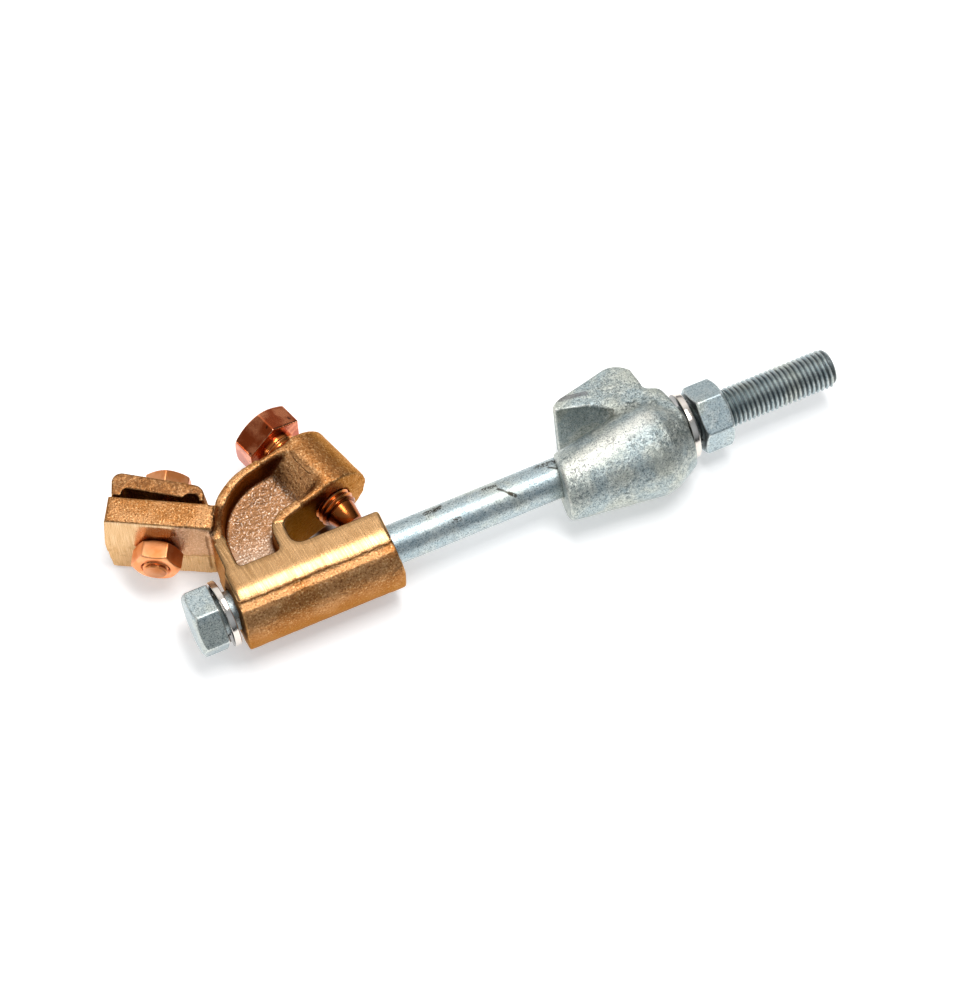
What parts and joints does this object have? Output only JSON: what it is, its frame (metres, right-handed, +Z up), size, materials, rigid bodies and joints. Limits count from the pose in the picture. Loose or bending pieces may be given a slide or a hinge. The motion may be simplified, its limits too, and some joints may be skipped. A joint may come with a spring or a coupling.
{
  "type": "rail earthing clamp",
  "caption": "Clamp that ties an earthing cable to a rail foot: cast bronze jaw with contact screw and cable terminal, long bolt and sliding hook jaw.",
  "frame": {"origin": "seat of the rail foot: middle of the end wall of the slot, in the casting's parting plane", "axes": "+X along the long bolt from its head to its nut, +Y from the bolt towards the contact screw's head, +Z up, square to the plane of the jaws"},
  "size_m": [0.2877, 0.095, 0.0392],
  "materials": {
    "cast_bronze": "sand cast bronze, linished on the seats",
    "copper_screw": "copper alloy, dark patina",
    "copper_bolt": "copper alloy, satin",
    "zinc_steel": "hot dip galvanised steel, mottled",
    "spring_steel": "bright spring steel",
    "galvanised_casting": "galvanised casting, mottled grey"
  },
  "bodies": {
    "clamp": {"clamp_body": "cast_bronze"},
    "contact": {"contact_screw": "copper_screw"},
    "cap": {"terminal_cap": "cast_bronze"},
    "cap_bolt": {"terminal_bolt": "copper_bolt"},
    "cap_nut": {"terminal_nut": "copper_bolt"},
    "head_ring": {"head_washer": "spring_steel"},
    "bolt": {"long_bolt": "zinc_steel"},
    "nut_ring": {"nut_washer": "spring_steel"},
    "nut": {"hex_nut": "zinc_steel"},
    "hook": {"hook_jaw": "galvanised_casting"}
  },
  "joints": [
    {"name": "contact_travel", "type": "slide", "parent": "clamp", "child": "contact", "axis": [0.3049, -0.9524, 0], "range_m": [-0.03, 0.001]},
    {"name": "cap_lift", "type": "slide", "parent": "clamp", "child": "cap", "axis": [0.5, 0.866, 0], "range_m": [0, 0.007]},
    {"name": "cap_bolt_turn", "type": "hinge", "parent": "cap", "child": "cap_bolt", "pos_m": [-0.0452, 0.02164, 0], "axis": [-0.5, -0.866, 0], "continuous": true},
    {"name": "cap_nut_turn", "type": "hinge", "parent": "clamp", "child": "cap_nut", "pos_m": [-0.0452, 0.02164, 0], "axis": [-0.5, -0.866, 0], "range_deg": [-20, 1720]},
    {"name": "bolt_slide", "type": "slide", "parent": "clamp", "child": "head_ring", "axis": [1, 0, 0], "range_m": [-0.01, 0.0012]},
    {"name": "bolt_turn", "type": "hinge", "parent": "head_ring", "child": "bolt", "pos_m": [0.0358, -0.0146, 0], "axis": [1, 0, 0], "continuous": true},
    {"name": "nut_travel", "type": "slide", "parent": "bolt", "child": "nut_ring", "axis": [1, 0, 0], "range_m": [0, 0.042]},
    {"name": "nut_turn", "type": "hinge", "parent": "nut_ring", "child": "nut", "pos_m": [0.1658, -0.0146, 0], "axis": [1, 0, 0], "range_deg": [-20, 7600]},
    {"name": "hook_slide", "type": "slide", "parent": "nut_ring", "child": "hook", "axis": [1, 0, 0], "range_m": [-0.057, 0]}
  ],
  "couplings": [
    {"joint": "cap_nut_turn", "follows": "cap_lift", "rad_per_m": 4188.8},
    {"joint": "nut_turn", "follows": "nut_travel", "rad_per_m": 3141.6}
  ]
}
